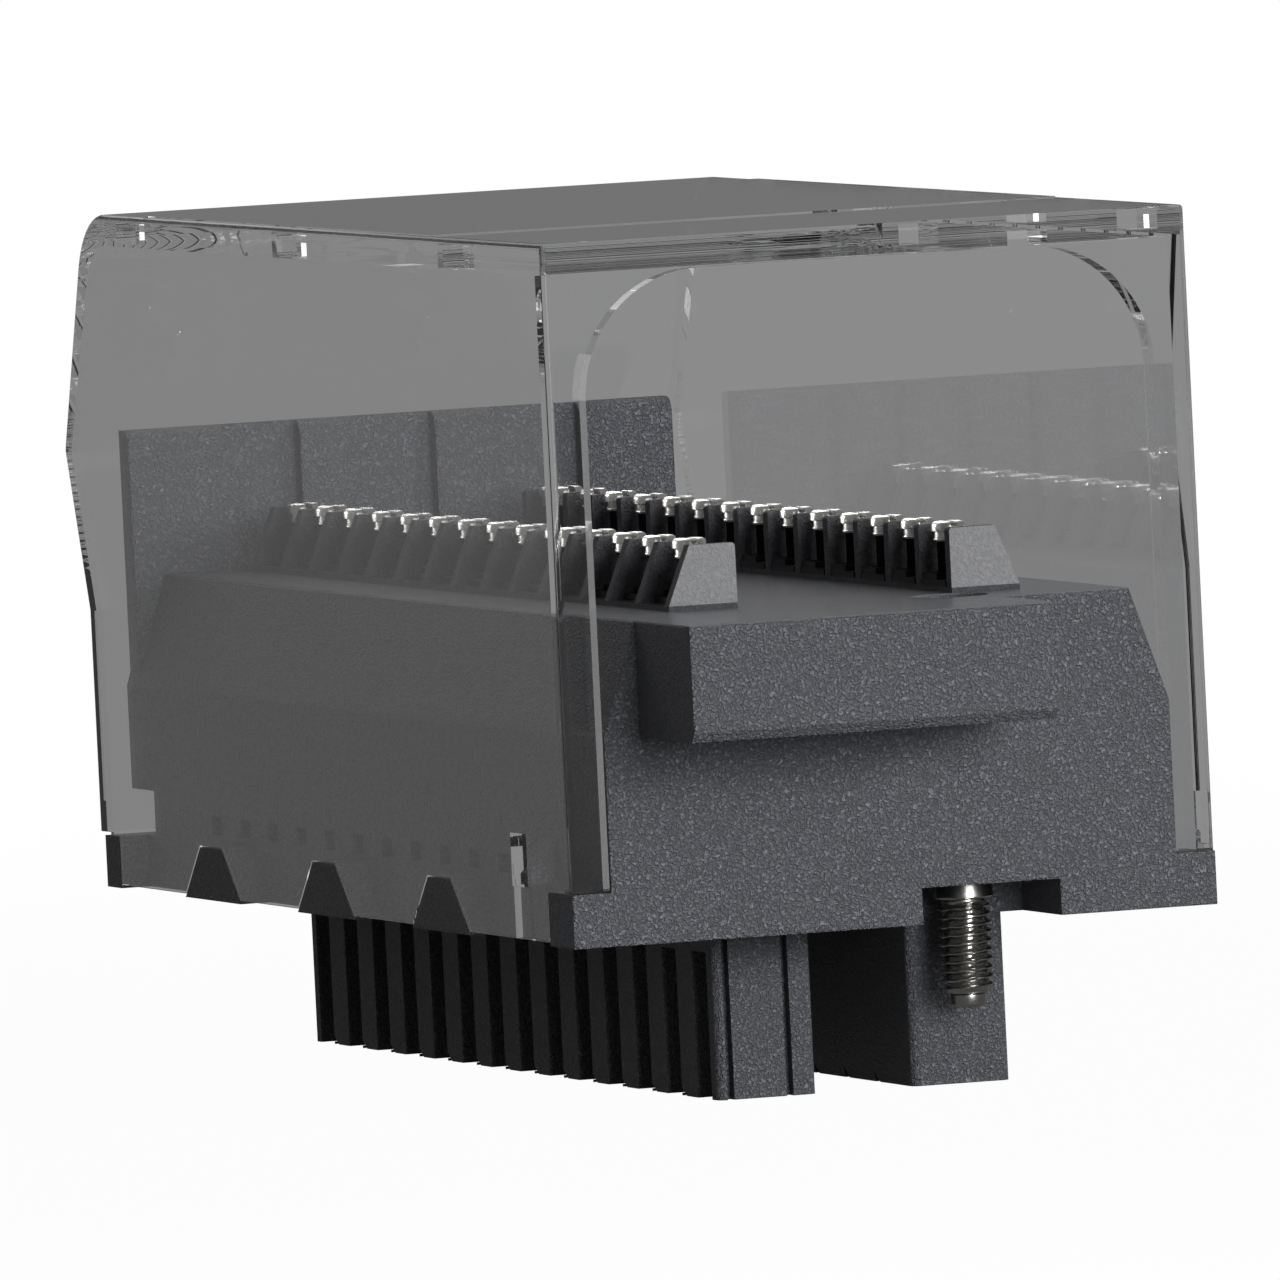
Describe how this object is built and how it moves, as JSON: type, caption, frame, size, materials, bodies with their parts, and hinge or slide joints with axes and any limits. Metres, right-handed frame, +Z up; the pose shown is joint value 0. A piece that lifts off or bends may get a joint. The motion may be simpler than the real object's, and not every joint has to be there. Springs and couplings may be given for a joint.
{
  "type": "removable terminal block",
  "caption": "Double-row screw terminal block with barrier strips, plug-in socket rows underneath, captive fixing screws and a clear lift-off cover with a cable arch.",
  "frame": {"origin": "centre of the flange's seating face, on its lower surface between the two socket rows", "axes": "+X across the block to its right side, +Y along the rows from the cable end to the far end, +Z up from the seating face towards the cover"},
  "size_m": [0.038, 0.0964, 0.0486],
  "materials": {
    "base_plastic": "fine leathery grain, glossy deck",
    "barrier_black": "satin",
    "barrier_grey": "satin",
    "socket_plastic": "fine grain",
    "clear_plastic": "clear, polished",
    "screw_steel": "bright nickel plate",
    "tin_plate": "dull tin plate",
    "spring_metal": "plated"
  },
  "bodies": {
    "base": {"base_housing": "base_plastic", "barrier_strip_left": "barrier_black", "end_barrier_front_left": "barrier_grey", "end_barrier_rear_left": "barrier_grey", "contact_plates_left": "tin_plate", "clamp_plates_left": "tin_plate", "terminal_screws_left": "screw_steel", "socket_housing_left": "socket_plastic", "socket_springs_left": "spring_metal", "barrier_strip_right": "barrier_black", "end_barrier_front_right": "barrier_grey", "end_barrier_rear_right": "barrier_grey", "contact_plates_right": "tin_plate", "clamp_plates_right": "tin_plate", "terminal_screws_right": "screw_steel", "socket_housing_right": "socket_plastic", "socket_springs_right": "spring_metal"},
    "cover": {"clear_cover": "clear_plastic"},
    "captive_front": {"captive_screw_front": "screw_steel", "retaining_collar_front": "screw_steel"},
    "captive_rear": {"captive_screw_rear": "screw_steel", "retaining_collar_rear": "screw_steel"}
  },
  "joints": [
    {"name": "cover_lift", "type": "slide", "parent": "base", "child": "cover", "axis": [0, 0, 1], "range_m": [0, 0.04]},
    {"name": "captive_front_turn", "type": "hinge", "parent": "base", "child": "captive_front", "pos_m": [0.00535, -0.03761, 0], "axis": [0, 0, 1], "continuous": true},
    {"name": "captive_rear_turn", "type": "hinge", "parent": "base", "child": "captive_rear", "pos_m": [0, 0.03741, 0], "axis": [0, 0, 1], "continuous": true}
  ]
}
